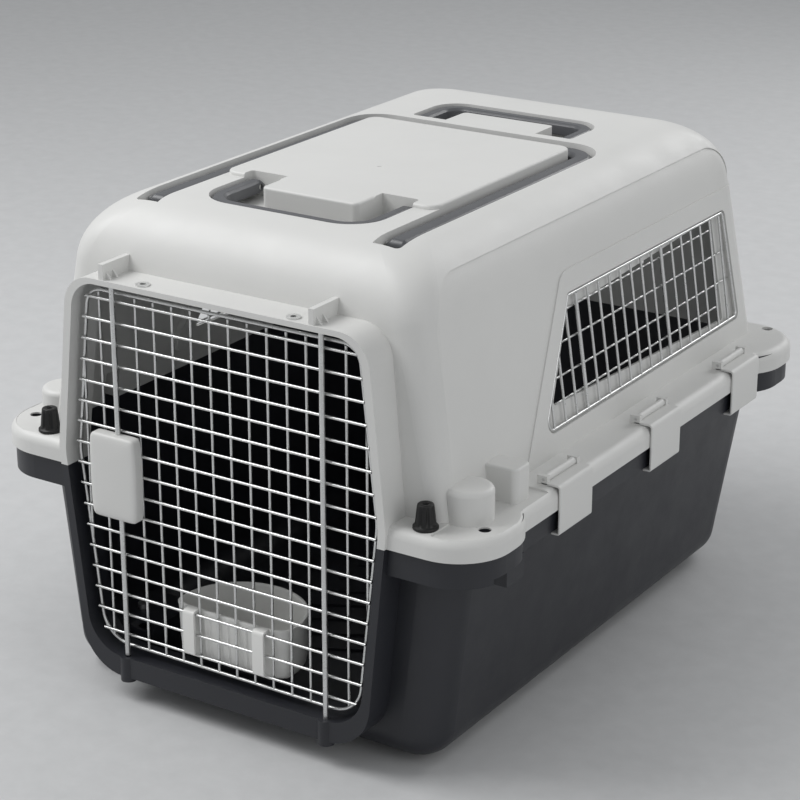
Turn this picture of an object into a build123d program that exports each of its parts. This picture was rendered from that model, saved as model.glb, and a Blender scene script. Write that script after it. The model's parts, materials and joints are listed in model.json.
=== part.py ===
"""Rolling pet carrier: two moulded shells, wire door, wire windows, carry
handles, a folding pull bar, hooked side clips and four recessed casters.

Frame: origin on the floor under the centre of the carrier, +X to the
carrier's side that shows in the photograph, -Y out of the door, +Z up.
"""
import math
import os

from build123d import *

os.makedirs("parts", exist_ok=True)

# Driving dimensions in millimetres
MESH = 20.0  # pitch of the door's wires
RIM_HALF = 253.0  # half the width over the rim
EAR_HALF = RIM_HALF + 10.0  # half the width over the rim's corner ears
RIM_FRONT, RIM_REAR = -320.0, 327.5
ROOF_TOP = 460.0
SPLIT = 221.0  # lower edge of the upper shell's rim
FOOT = 209.0  # height where the dome's foot is measured
RIM_TOP = SPLIT + 20.0
TUB_BOTTOM = 6.0
WALL = 3.0  # thickness of both moulded shells
SIDE_HALF = RIM_HALF - 34.0  # half the width of the upper shell at its foot
TUB_HALF = RIM_HALF - 25.0  # half the width of the tub at its rim
ROOF_HALF = SIDE_HALF - 39.0  # half the width of the roof at its sharp corner
FLOOR_HALF = TUB_HALF - 27.0  # half the width of the tub's bottom
WALL_FRONT, WALL_REAR = RIM_FRONT + 27.5, RIM_REAR - 21.5
ROOF_FRONT, ROOF_REAR = WALL_FRONT + 6.5, WALL_REAR - 9.0
FLOOR_REAR = WALL_REAR - 30.0
CORNER_FOOT, CORNER_ROOF = 14.0, 30.0  # upper shell's upright corner radii
TUB_CORNER = 34.0
ROOF_ROUND = 60.0  # radius along the roof's edges
ROUND_STEPS = 6  # sections that the rounding is lofted through
TUB_ROUND = 28.0  # radius along the tub's bottom edges

# Door and its surround
DOOR_Y = -314.5  # centre plane of the door's crosswires
SURROUND_Y = -323.0  # front face of the moulded surround
SURROUND_WALL = 7.5
LEDGE_TOP = 404.0
LIP_BOTTOM = 24.0
OPENING = [(150.0, 399.0, 26.0), (168.0, 236.0, 60.0), (147.0, 44.0, 38.0)]
WIRE = 2.6  # diameter of the mesh wires
FRAME_WIRE = 3.2
FRAME_IN = 8.0  # from the opening's edge in to the frame wire's centre line
ROD = 5.0  # diameter of the hinge rod and the latch rods
ROD_X = 5.5 * MESH
TOUCH = 0.05  # gap left between welded wires and other seated faces
RUN = 0.05  # radial running clearance of a pin in its hole
FREE = 0.4  # clearance round parts that swing or slide
FIRST_ROW = 384.0  # height of the door's highest crosswire
LATCH_TRAVEL = 4.0  # how far each latch rod runs into its socket

ROD_Y = DOOR_Y - (WIRE + ROD) / 2 - TOUCH
UPRIGHT_Y = DOOR_Y + WIRE + TOUCH
FRAME_Y = DOOR_Y + (WIRE + FRAME_WIRE) / 2 + TOUCH
OPENING_TOP, OPENING_BOTTOM = OPENING[0][1], OPENING[-1][1]
SOCKET_TOP = OPENING_TOP + LATCH_TRAVEL
FIN_TOP = 418.0
FIN_X, FIN_WALL = (-121.0, 100.0), 5.0
EYELET_X, EYELET_Y, EYELET_R = 79.0, DOOR_Y + 1.0, 3.6

# Latch
LATCH_WIDTH, LATCH_HEIGHT = 53.0, 81.0
LATCH_Z = 219.5
LATCH_FRONT = -327.5
LATCH_BACK = DOOR_Y - WIRE / 2 - TOUCH
SLIDE_START = 8.0  # from the latch's middle to each finger slide
WEB_HALF = 1.5  # half the thickness of the web that the springs push against
SPRING_OUT, SPRING_IN, SPRING_SHIFT = 3.4, 2.4, 1.0
PLATE_Y = UPRIGHT_Y + WIRE / 2 + TOUCH
SCREW_X, SCREW_Z, SCREW_R = 13.0 - ROD_X, (FIRST_ROW - 9.5 * MESH, FIRST_ROW - 6.5 * MESH), 1.5

# Shallow step of the side wall, corners as y, height and radius
SIDE_STEP = 1.2
CREASE_TOP = ROOF_TOP - 22.5
CREASE = [(-272.0, 230.0, 1.0), (-266.0, CREASE_TOP, 46.0), (WALL_REAR - 14.0, CREASE_TOP, 46.0),
          (WALL_REAR - 14.0, 230.0, 1.0)]
BORDER = [(-168.0, 225.0, 8.0), (-62.0, 395.0, 18.0), (320.0, 395.0, 2.0), (320.0, 225.0, 2.0)]

# Bulges of the side wall behind the front strap holes and the sunk shelf round them
BULGE_X, BULGE_Y, BULGE_R, BULGE_TOP = EAR_HALF - 45.0, -262.0, 22.0, RIM_TOP + 28.0
BOX_OUT, BOX_Y, BOX_TOP = EAR_HALF - 24.0, (-220.0, -194.0), RIM_TOP + 30.0
SHELF_DEPTH, SHELF_LIP, SHELF_Y = 1.6, 4.5, (-314.0, -181.0)

# Roof fittings
BAR_X = 126.0  # centre line of the pull bar's legs
BAR_WIDTH, BAR_DEPTH = 20.0, 12.0
BAR_PIVOT_Y, BAR_CROSS_Y = -226.0, 107.0
BAR_CORNER = 34.0  # plan radius of the pull bar's corners
BAR_TOP = ROOF_TOP - 3.0
CHANNEL_SIDE = 3.0  # room each side of a bar in its channel
CHANNEL_FLOOR = ROOF_TOP - 19.0
HANDLE_HALF = 88.0  # half the outer width of the front carry handle
HANDLE_BAR = 13.0
HANDLE_TOP = ROOF_TOP - 1.5
FRONT_GRIP_Y, FRONT_PIVOT_Y = -218.0, -146.0
REAR_GRIP_Y, REAR_PIVOT_Y = ROOF_REAR - 106.0, ROOF_REAR - 157.0
REAR_HALF = 88.0
HANDLE_SIDE = 2.5
FRONT_CORNER, REAR_CORNER = 34.0, 26.0  # plan radii of the carry handles
TONGUE_HALF = 51.0  # half the width of the tongue between a handle's legs
FRONT_TONGUE_Y, REAR_TONGUE_Y = FRONT_GRIP_Y + 40.0, REAR_GRIP_Y - 23.0
SCOOP_HALF, SCOOP_DEPTH = 48.0, 14.0  # finger room under a handle's grip
CHANNEL_PAST = 12.0  # how far the pull bar's channel runs on past its legs
PANEL_FRONT = -150.0
ROOF_CLEAR = ROOF_TOP + 20.0  # height that cuts in the roof run up to
LEG_END = 6.0  # how far a bar's leg runs past its pivot
PIN = 5.0
PIN_REACH = 4.5  # how far a pin runs into each wall of its channel
PANEL_TOP = ROOF_TOP + 4.0
GATE_Y, GATE_R, GATE_DEPTH = -65.0, 2.0, 0.4  # moulding mark on the panel

# Side clips
CLIP_WIDTH = 58.0
CLIP_Y = [-143.0, 28.0, 199.0]
CLIP_PIN = 3.0
CLIP_AXIS_X, CLIP_AXIS_Z = RIM_HALF - 15.0, RIM_TOP + 5.0
CLIP_OUT = RIM_HALF + 4.0  # outer face of a closed clip
LUG = 5.0
SKIRT_BOTTOM = SPLIT - 20.0  # lower edge of the tub's dark rim
HOOK_TOP, HOOK_TIP = SKIRT_BOTTOM - 0.8, RIM_HALF - 6.1
SKIRT_STEP, SKIRT_STEP_Y = 5.0, -285.0  # the rim hangs lower at the door's side
SUPPORT_X, SUPPORT_Y = (TUB_HALF - 8.0, RIM_HALF + 3.0), (-262.0, -234.0)
SUPPORT_BOTTOM = SKIRT_BOTTOM - 17.0

# Knobs, casters and bowl
KNOB_X, KNOB_Y = RIM_HALF - 51.0, RIM_FRONT + 16.5
STRAP_HOLES = [(EAR_HALF - 20.0, RIM_FRONT + 43.0), (RIM_HALF - 27.0, RIM_REAR - 15.5)]
STRAP_R = 5.5
CASTER_X, CASTER_Y = FLOOR_HALF - 51.0, [WALL_FRONT + 46.5, FLOOR_REAR - 60.0]
WHEEL_R, WHEEL_WIDTH, TRAIL = 18.0, 16.0, 12.0
WELL_R, WELL_TOP = 34.0, 50.0
BOWL_X, BOWL_HALF, BOWL_TOP = 11.0, 56.0, FIRST_ROW - 14 * MESH + 4.0
BOWL_BOTTOM = BOWL_TOP - 40.0
BOWL_WALL = 2.4
HOOK_X = (-MESH, 2 * MESH)
BOLT = 5.0
STUD_R, JOURNAL_R, AXLE_R = 5.0, 4.0, 2.5
CROWN_LOW = 40.0
FORK_IN, FORK_OUT = WHEEL_WIDTH / 2 + 1, WHEEL_WIDTH / 2 + 3.5
GRILLE_DEPTH = 1.6
THICK_UPRIGHTS = (3, 11)
GRILLE_ROWS = [(15.0, -85.0, 264.0), (-14.0, -99.0, 266.0), (42.0, -52.0, 235.0), (-36.0, -88.0, 240.0)]


def save(shape, name):
    export_step(shape, "parts/" + name + ".step")


def group(solids):
    """Separate solids that share one node."""
    return Compound(children=list(solids))


def slab(half, y0, y1, radius, z):
    """Rounded rectangle across the carrier at height z."""
    return Pos(0, (y0 + y1) / 2, z) * RectangleRounded(2 * half, y1 - y0, radius)


def block(x0, x1, y0, y1, z0, z1):
    return Pos((x0 + x1) / 2, (y0 + y1) / 2, (z0 + z1) / 2) * Box(x1 - x0, y1 - y0, z1 - z0)


def post(x, y, radius, z0, z1):
    return Pos(x, y, (z0 + z1) / 2) * Cylinder(radius, z1 - z0)


def rod_along_x(x0, x1, y, z, radius):
    return Pos((x0 + x1) / 2, y, z) * Rot(0, 90, 0) * Cylinder(radius, x1 - x0)


def rod_along_y(y0, y1, x, z, radius):
    return Pos(x, (y0 + y1) / 2, z) * Rot(90, 0, 0) * Cylinder(radius, y1 - y0)


def mirrored(shape):
    """The shape and its mirror image across the carrier's middle."""
    return [shape, mirror(shape, about=Plane.YZ)]


def outline_face(points, grow=0.0):
    """Face in the door's plane from the right half's corners, each given as
    half width, height and corner radius; grow moves the edge outward."""
    right = [(x, z) for x, z, r in points]
    loop = right + [(-x, z) for x, z in reversed(right)]
    wire = Polyline(*[(x, z, 0) for x, z in loop], close=True)
    face = make_face(wire)
    for x, z, radius in points:
        chosen = [v for v in face.vertices() if abs(abs(v.X) - x) < 0.01 and abs(v.Y - z) < 0.01]
        face = fillet(chosen, radius)
    if grow:
        face = offset(face, grow)
    return face


def in_door_plane(face, y0, y1):
    """Prism of a door-plane face from y0 back to y1."""
    plane = Plane(origin=(0, y0, 0), x_dir=(1, 0, 0), z_dir=(0, -1, 0))
    return extrude(plane * face, amount=-(y1 - y0))


def rim_outline(inset, z):
    """Plan outline of the rim with its four corner ears."""
    face = slab(RIM_HALF - inset, RIM_FRONT + inset, RIM_REAR - inset, 58 - inset, z)
    ear_half, ear_long = EAR_HALF - inset, 112
    for y0, y1 in ((RIM_FRONT + inset, RIM_FRONT + ear_long), (RIM_REAR - ear_long, RIM_REAR - inset)):
        face += slab(ear_half, y0, y1, 50 - inset, z)
    return face


def rounded_reach(low, high, z, inset):
    """How far the dome's wall stands from the middle at height z: a straight
    lean from low at the foot, rounded over into the roof."""
    slope = (low - high) / (ROOF_TOP - FOOT)
    radius = ROOF_ROUND - inset
    middle_z = ROOF_TOP - ROOF_ROUND
    if z <= middle_z + radius * math.sin(math.atan(slope)):
        return low - slope * (z - FOOT) - inset
    middle = low - slope * (middle_z - FOOT) - inset - radius / math.cos(math.atan(slope))
    return middle + math.sqrt(max(radius ** 2 - (z - middle_z) ** 2, 0))


def dome_section(z, inset):
    """Plan outline of the dome at height z."""
    half = rounded_reach(SIDE_HALF, ROOF_HALF, z, inset)
    front = -rounded_reach(-WALL_FRONT, -ROOF_FRONT, z, inset)
    rear = rounded_reach(WALL_REAR, ROOF_REAR, z, inset)
    corner = CORNER_FOOT + (CORNER_ROOF - CORNER_FOOT) * (z - FOOT) / (ROOF_TOP - FOOT)
    return slab(half, front, rear, corner - inset, z)


def upper_body(inset):
    """Tapered dome of the upper shell, moved inward by inset."""
    turns = [k * math.pi / 2 / ROUND_STEPS for k in range(ROUND_STEPS + 1)]
    heights = [ROOF_TOP - ROOF_ROUND + (ROOF_ROUND - inset) * math.sin(turn) for turn in turns]
    wall = loft([dome_section(FOOT, inset), dome_section(heights[0], inset)])
    return wall + loft([dome_section(z, inset) for z in heights])


def tub_body(inset):
    """Tapered tub of the lower shell, moved inward by inset."""
    corner = TUB_CORNER - inset
    low = slab(FLOOR_HALF - inset, WALL_FRONT + inset, FLOOR_REAR - inset, corner, TUB_BOTTOM + inset)
    high = slab(TUB_HALF - inset, WALL_FRONT + inset, WALL_REAR - inset, corner, RIM_TOP - WALL)
    tub = loft([low, high])
    return fillet(tub.edges().group_by(Axis.Z)[0], TUB_ROUND - inset)


def channel_u(half, bar, y_leg, y_cross, grow, z0, z1, corner, past=0.0):
    """U-shaped trough or bar seen from above: two legs and one cross piece.
    half is the half spacing of the legs' centre lines, past lengthens the legs."""
    outer_half = half + bar / 2 + grow
    inner_half = half - bar / 2 - grow
    step = 1 if y_cross > y_leg else -1
    y_out = y_cross + step * (bar / 2 + grow)
    y_in = y_cross - step * (bar / 2 + grow)
    y_open = y_leg - step * (LEG_END + grow + past)
    outer = slab(outer_half, min(y_open, y_out), max(y_open, y_out), corner + grow, z0)
    outer += slab(outer_half, *sorted((y_open, (y_open + y_out) / 2)), min(bar / 2, 5), z0)
    inner = slab(inner_half, *sorted((y_open - step * 5, y_in)), corner - bar + 1 - grow, z0)
    inner += slab(inner_half, *sorted((y_open - step * 5, y_open + step * 30)), 0.5, z0)
    return extrude(outer - inner, amount=z1 - z0)


def pull_channel(grow, z_low):
    room = CHANNEL_SIDE + grow
    sizes = (BAR_X, BAR_WIDTH, BAR_PIVOT_Y, BAR_CROSS_Y)
    return channel_u(*sizes, room, z_low, ROOF_CLEAR, BAR_CORNER, CHANNEL_PAST)


def handle_recess(half, pivot_y, grip_y, corner, tongue_y, grow, z_low):
    """Recess that a carry handle lies in, round the tongue between its legs,
    with a deeper scoop for the fingers under its grip."""
    step = 1 if grip_y > pivot_y else -1
    room = HANDLE_SIDE + grow
    y_rear = pivot_y - step * (LEG_END + room)
    y_grip = grip_y + step * (HANDLE_BAR / 2 + room)
    plan = slab(half + room, *sorted((y_rear, y_grip)), corner + room, z_low)
    plan += slab(half + room, *sorted((y_rear, (y_rear + y_grip) / 2)), 4, z_low)
    plan -= slab(TONGUE_HALF - grow, *sorted((y_rear - step * 40, tongue_y - step * grow)), 5, z_low)
    scoop_y = sorted((tongue_y - step * grow, grip_y + step * (8 + grow)))
    scoop = slab(SCOOP_HALF + grow, *scoop_y, 7 + grow, z_low - SCOOP_DEPTH)
    scoop = extrude(scoop, amount=ROOF_CLEAR + SCOOP_DEPTH - z_low)
    return extrude(plan, amount=ROOF_CLEAR - z_low) + scoop


def roof_cuts(grow):
    floor = CHANNEL_FLOOR - grow
    cuts = pull_channel(grow, floor)
    front = (HANDLE_HALF, FRONT_PIVOT_Y, FRONT_GRIP_Y, FRONT_CORNER, FRONT_TONGUE_Y)
    rear = (REAR_HALF, REAR_PIVOT_Y, REAR_GRIP_Y, REAR_CORNER, REAR_TONGUE_Y)
    for handle in (front, rear):
        cuts += handle_recess(*handle, grow, floor)
    return cuts


def raised_panel():
    """Raised field inside the pull bar's channel with its tongue."""
    room = BAR_WIDTH / 2 + CHANNEL_SIDE
    field = slab(BAR_X - room, PANEL_FRONT, BAR_CROSS_Y - room, 12, CHANNEL_FLOOR)
    field += slab(TONGUE_HALF, FRONT_TONGUE_Y, -110, 5, CHANNEL_FLOOR)
    return fillet(extrude(field, amount=PANEL_TOP - CHANNEL_FLOOR).edges().group_by(Axis.Z)[-1], 2.5)


WINDOW_LEAN = math.degrees(math.atan((SIDE_HALF - ROOF_HALF) / (ROOF_TOP - FOOT)))
WINDOW_Z = 318.0  # height of the window's middle
WINDOW = [(-123.0, -58.5, 12.0), (274.0, -57.5, 8.0), (264.0, 57.5, 8.0), (-55.0, 57.5, 4.0)]
VENT = [(-92.0, -37.0, 3.0), (250.0, -53.0, 3.0), (246.0, 53.0, 3.0), (-50.0, 40.0, 3.0)]
RECESS = 6.4  # depth of the sunk band that holds a window's wires


def wall_x(z):
    """Half width of the upper shell's side wall at height z."""
    return SIDE_HALF - (z - FOOT) * (SIDE_HALF - ROOF_HALF) / (ROOF_TOP - FOOT)


def window_plane(depth):
    """Plane of the right window, depth below the wall's outer face."""
    lean = math.radians(WINDOW_LEAN)
    normal = Vector(math.cos(lean), 0, math.sin(lean))
    start = Vector(wall_x(WINDOW_Z), 0, WINDOW_Z) - normal * depth
    return Plane(origin=start, x_dir=(0, 1, 0), z_dir=normal)


def quad(points, grow=0.0):
    """Four-cornered face with rounded corners, each point y, height, radius."""
    face = make_face(Polyline(*[(y, z) for y, z, r in points], close=True))
    for y, z, radius in points:
        face = fillet([v for v in face.vertices() if abs(v.X - y) + abs(v.Y - z) < 0.01], radius)
    return offset(face, grow) if grow else face


def window_prism(points, grow, depth_out, depth_in):
    return extrude(window_plane(depth_out) * quad(points, grow), amount=-(depth_in - depth_out))


def seen_from_side(points, x0, x1):
    """Prism across the right side from an outline of y, height and radius."""
    return extrude(Plane.YZ.offset(x0) * quad(points), amount=x1 - x0)


def side_step():
    """Skin taken off the right side wall between the crease and the border."""
    band = seen_from_side(CREASE, 100, 260) - seen_from_side(BORDER, 90, 270)
    return band - upper_body(SIDE_STEP)


def wall_bulges(inset):
    """Rounded bulge and box behind the right front strap hole."""
    foot = RIM_TOP - WALL - inset
    bulge = post(BULGE_X, BULGE_Y, BULGE_R - inset, foot, BULGE_TOP - inset)
    bulge = fillet(bulge.edges().group_by(Axis.Z)[-1], 5)
    box = block(190, BOX_OUT - inset, BOX_Y[0] + inset, BOX_Y[1] - inset, foot, BOX_TOP - inset)
    box = fillet(box.edges().filter_by(Axis.Z).group_by(Axis.X)[-1], 6)
    return [bulge, fillet(box.edges().group_by(Axis.Z)[-1], 2)]


def sunk_shelf():
    """Shallow pocket in the top of the right front corner of the rim."""
    floor = RIM_TOP - SHELF_DEPTH
    pocket = extrude(rim_outline(SHELF_LIP, floor), amount=20)
    return pocket & block(213, 300, *SHELF_Y, floor, RIM_TOP + 1)


def surround(grow=0.0):
    """Solid of the door's surround before the opening is cut."""
    half_top = 150 + SURROUND_WALL
    half_mid = 168 + SURROUND_WALL
    corners = [(half_top, LEDGE_TOP, 30), (half_mid, 236, 60), (154, LIP_BOTTOM, 46)]
    return in_door_plane(outline_face(corners, grow), SURROUND_Y - grow, WALL_FRONT + 12 + grow)


def doorway():
    return in_door_plane(outline_face(OPENING), -400, WALL_FRONT + 25)


def knob_and_strap_holes(shape, z0, z1):
    for side in (-1, 1):
        shape -= post(side * KNOB_X, KNOB_Y, BOLT / 2 + FREE, z0, z1)
        for x, y in STRAP_HOLES:
            shape -= post(side * x, y, STRAP_R, z0, z1)
    return shape


def clip_lugs():
    """Pairs of lugs on the rim, one pair for each side clip."""
    lugs = []
    for y in CLIP_Y:
        for end in (-1, 1):
            middle = y + end * (CLIP_WIDTH - LUG) / 2
            span = (middle - LUG / 2, middle + LUG / 2)
            lug = block(CLIP_AXIS_X - 6, CLIP_AXIS_X + 4, *span, RIM_TOP - 1, CLIP_AXIS_Z + 3.5)
            lug -= rod_along_y(*span, CLIP_AXIS_X, CLIP_AXIS_Z, CLIP_PIN / 2)
            lugs += mirrored(lug)
    return lugs


def pivot_sites():
    """Inner and outer end, y and z of the right-hand pin of each bar."""
    half_bar = BAR_X + BAR_WIDTH / 2
    inner = half_bar - BAR_WIDTH - CHANNEL_SIDE - PIN_REACH
    outer = HANDLE_SIDE + PIN_REACH
    handle_z = HANDLE_TOP - BAR_DEPTH / 2
    return [
        (inner, half_bar + CHANNEL_SIDE + PIN_REACH, BAR_PIVOT_Y, BAR_TOP - BAR_DEPTH / 2),
        (HANDLE_HALF - HANDLE_BAR, HANDLE_HALF + outer, FRONT_PIVOT_Y, handle_z),
        (REAR_HALF - HANDLE_BAR, REAR_HALF + outer, REAR_PIVOT_Y, handle_z),
    ]


def pivot_rods(radius, extra):
    """Rods through both legs of each bar, reaching extra past the pins."""
    rods = []
    for inner, outer, y, z in pivot_sites():
        rods += mirrored(rod_along_x(inner - extra, outer + extra, y, z, radius))
    return rods


def fin(x):
    """Upright plate on the ledge with two small ribs at its foot."""
    plate = block(x, x + FIN_WALL, SURROUND_Y + 1, WALL_FRONT + 20, LEDGE_TOP - 1, FIN_TOP)
    for y in (SURROUND_Y + 5, SURROUND_Y + 14):
        side = make_face(Polyline((x + FIN_WALL - 1, LEDGE_TOP - 1), (x + FIN_WALL + 6, LEDGE_TOP - 1),
                                  (x + FIN_WALL - 1, LEDGE_TOP + 8), close=True))
        plate += in_door_plane(side, y, y + 2)
    return plate


def upper_shell():
    rim = extrude(rim_outline(0, SPLIT), amount=RIM_TOP - SPLIT)
    rim = fillet(rim.edges().group_by(Axis.Z)[-1], 9)
    rim -= extrude(rim_outline(WALL, SPLIT - 1), amount=RIM_TOP - WALL - SPLIT + 1)
    shell = upper_body(0) - block(-400, 400, -400, 400, 100, RIM_TOP - WALL)
    for step in mirrored(side_step()):
        shell -= step
    for pocket in mirrored(sunk_shelf()):
        rim -= pocket
    shell += rim
    shell += surround() & block(-400, 400, -400, 0, SPLIT, 500)
    shell += raised_panel()
    shell -= roof_cuts(0)
    shell -= post(0, GATE_Y, GATE_R, PANEL_TOP - GATE_DEPTH, PANEL_TOP + 1)
    for x in FIN_X:
        shell += fin(x)
    cavity = upper_body(WALL) - block(-400, 400, -400, 400, 100, SPLIT - 5)
    cavity += block(-98, 98, PANEL_FRONT + 22, 82, CHANNEL_FLOOR - 1, PANEL_TOP - WALL)
    cavity -= roof_cuts(WALL)
    for boss in pivot_rods(PIN, 2):
        cavity -= boss
    for prism in mirrored(window_prism(WINDOW, WALL, -1, RECESS + WALL)):
        cavity -= prism
    for bulge, hollow in zip(wall_bulges(0), wall_bulges(WALL)):
        for solid in mirrored(bulge):
            shell += solid
        for inside in mirrored(hollow):
            cavity += inside
    for lug in clip_lugs():
        shell += lug
    shell -= cavity
    shell -= doorway()
    recess = window_prism(WINDOW, 0, -20, RECESS)
    vent = window_prism(VENT, 0, 0, 30)
    for hole in mirrored(recess) + mirrored(vent) + rear_slots() + pivot_rods(PIN / 2, 0.2):
        shell -= hole
    for side in (-1, 1):
        shell -= post(side * ROD_X, ROD_Y, ROD / 2 + RUN, 396, SOCKET_TOP)
        shell -= post(side * EYELET_X, EYELET_Y, EYELET_R, 390, 410)
    return knob_and_strap_holes(shell, RIM_TOP - 5, RIM_TOP + 5)


def rear_slots():
    """Upright air slots through the rear wall."""
    slots = []
    for k in range(9):
        x = (k - 4) * 21
        slots.append(block(x - 4, x + 4, WALL_REAR - 26, WALL_REAR + 24, 290, 360))
    return slots


def caster_sites():
    return [(x, y) for x in (-CASTER_X, CASTER_X) for y in CASTER_Y]


def lower_shell():
    inset = WALL + 0.5
    top = RIM_TOP - WALL - TOUCH
    flange = extrude(rim_outline(inset, SKIRT_BOTTOM), amount=top - SKIRT_BOTTOM)
    inner = extrude(rim_outline(inset + WALL, SKIRT_BOTTOM - 1), amount=top - WALL - SKIRT_BOTTOM + 1)
    tub = tub_body(0) - block(-400, 400, -400, 400, top, 400)
    tub += flange - inner
    tub += surround() & block(-400, 400, -400, 0, 0, top)
    tub -= surround(TOUCH) & block(-400, 400, -400, 0, SPLIT - TOUCH, 400)
    for side in (-1, 1):
        tub += post(side * ROD_X, ROD_Y, 7.5, LIP_BOTTOM - 4, 44)
    for support in mirrored(block(*SUPPORT_X, *SUPPORT_Y, SUPPORT_BOTTOM, SKIRT_BOTTOM + 5)):
        tub += support
    front_skirt = flange - inner
    front_skirt = front_skirt & block(-300, 300, -400, SKIRT_STEP_Y, SKIRT_BOTTOM, SKIRT_BOTTOM + 5)
    tub += Pos(0, 0, -SKIRT_STEP) * front_skirt
    cavity = tub_body(WALL)
    for x, y in caster_sites():
        cavity -= post(x, y, WELL_R + WALL, 0, WELL_TOP + WALL)
        tub -= post(x, y, WELL_R, 0, WELL_TOP)
    tub -= cavity
    tub -= doorway()
    for x, y in caster_sites():
        tub -= post(x, y, STUD_R + TOUCH, WELL_TOP - 1, WELL_TOP + WALL + 1)
    for side in (-1, 1):
        tub -= post(side * ROD_X, ROD_Y, ROD / 2 + RUN, 34, 46)
    for k in range(9):
        tub += Pos(0, -150 + 36 * k, TUB_BOTTOM + WALL + 1) * Rot(0, 0, 28) * Box(190, 5, 3)
    return knob_and_strap_holes(tub, RIM_TOP - 11, RIM_TOP + 5)


def bar_frame(half, width, pivot_y, cross_y, top, corner):
    """U-shaped bar with its leg ends bored for the pivot pins."""
    bar = channel_u(half - width / 2, width, pivot_y, cross_y, 0, top - BAR_DEPTH, top, corner)
    bar = fillet(bar.edges().group_by(Axis.Z)[-1], 2.5)
    bar = fillet(bar.edges().group_by(Axis.Z)[0], 2.5)
    middle = top - BAR_DEPTH / 2
    step = 1 if cross_y > pivot_y else -1
    end_y = sorted((pivot_y, pivot_y - step * (LEG_END + 1)))
    end = block(-half - 1, half + 1, *end_y, top - BAR_DEPTH - 1, top + 1)
    bar -= end - rod_along_x(-half - 2, half + 2, pivot_y, middle, LEG_END)
    for rod in mirrored(rod_along_x(half - 2 * width, half + width, pivot_y, middle, PIN / 2 + RUN)):
        bar -= rod
    return bar


def door_wires():
    """Uprights, crosswires and the frame wire round them."""
    edge = outline_face(OPENING, -FRAME_IN)
    core = in_door_plane(offset(edge, -FRAME_WIRE / 2 - TOUCH), DOOR_Y - 30, DOOR_Y + 30)
    reach = in_door_plane(offset(edge, FRAME_WIRE / 2), DOOR_Y - 30, DOOR_Y + 30)
    uprights = []
    widest = max(x for x, z, r in OPENING) - FRAME_IN - FRAME_WIRE / 2
    columns = int(widest / MESH + 0.5)
    for i in range(2 * columns):
        x = (i - columns + 0.5) * MESH
        if abs(x) != ROD_X:
            uprights += (post(x, UPRIGHT_Y, WIRE / 2, 30, 420) & core).solids()
    rows = []
    for j in range(int((FIRST_ROW - OPENING_BOTTOM - FRAME_IN - FRAME_WIRE) / MESH) + 1):
        wire = rod_along_x(-200, 200, DOOR_Y, FIRST_ROW - j * MESH, WIRE / 2)
        rows += (wire & reach).solids()
    plane = Plane(origin=(0, FRAME_Y, 0), x_dir=(1, 0, 0), z_dir=(0, -1, 0))
    frame = ring_wire(plane * edge, FRAME_WIRE)
    return uprights, rows, frame


def ring_wire(face, thickness):
    """Round wire bent along the edge of a face."""
    path = face.faces()[0].outer_wire()
    section = Plane(origin=path @ 0, z_dir=path % 0) * Circle(thickness / 2)
    return sweep(section, path=path)


def latch_cover():
    x, w, h = -ROD_X, LATCH_WIDTH / 2, LATCH_HEIGHT / 2
    low, high = LATCH_Z - h, LATCH_Z + h
    cover = block(x - w, x + w, LATCH_FRONT, LATCH_BACK, low, high)
    cover = fillet(cover.edges().filter_by(Axis.Y), 5)
    cover = chamfer(cover.faces().sort_by(Axis.Y)[0].edges(), 2.2)
    cover -= block(x - w + 2.4, x + w - 2.4, LATCH_FRONT + 2.6, 0, low + 2.4, high - 2.4)
    cover -= block(x - w - 1, x - w + 4, ROD_Y - 3.6, LATCH_BACK + 1, LATCH_Z - 27, LATCH_Z + 27)
    cover += block(x - 7, x + 7, LATCH_FRONT + 2, LATCH_BACK, LATCH_Z - WEB_HALF, LATCH_Z + WEB_HALF)
    for z in SCREW_Z:
        cover += rod_along_y(LATCH_FRONT + 2, PLATE_Y - TOUCH, SCREW_X, z, 3.2)
        cover -= rod_along_y(LATCH_FRONT + 4, 0, SCREW_X, z, SCREW_R)
    for end in (low, high):
        cover -= post(x, ROD_Y, ROD / 2 + RUN, end - 5, end + 5)
    return cover


def latch_slide(up):
    """Finger slide on a latch rod; up is 1 for the upper and -1 for the lower."""
    x = -ROD_X
    z0, z1 = sorted((LATCH_Z + up * SLIDE_START, LATCH_Z + up * (SLIDE_START + 14)))
    t0, t1 = sorted((LATCH_Z + up * (SLIDE_START + 4), LATCH_Z + up * (SLIDE_START + 10)))
    slide = block(x - 8, x + 8, LATCH_FRONT + 3.2, LATCH_BACK - FREE, z0, z1)
    slide += block(x - LATCH_WIDTH / 2 + 1, x - 7, ROD_Y - 3, LATCH_BACK - FREE, t0, t1)
    bore0, bore1 = sorted((LATCH_Z + up * (SLIDE_START + 2), LATCH_Z + up * 40))
    return slide - post(x, ROD_Y, ROD / 2 + 0.01, bore0, bore1)


def latch_rod(up):
    start = LATCH_Z + up * (SLIDE_START + 2 + TOUCH)
    tip = OPENING_TOP - FREE if up == 1 else OPENING_BOTTOM + FREE
    rod = post(-ROD_X, ROD_Y, ROD / 2, min(start, tip), max(start, tip))
    tip_edges = rod.edges().sort_by(Axis.Z)[-1 if up == 1 else 0]
    return chamfer(tip_edges, 0.8)


def latch_spring(up):
    """Sleeve in the place of the coil spring between the cover's web and a slide."""
    start = LATCH_Z + up * (WEB_HALF + TOUCH)
    end = LATCH_Z + up * (SLIDE_START - TOUCH)
    z0, z1 = sorted((start, end))
    y = ROD_Y - SPRING_SHIFT
    return post(-ROD_X, y, SPRING_OUT, z0, z1) - post(-ROD_X, y, SPRING_IN, z0, z1)


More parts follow.
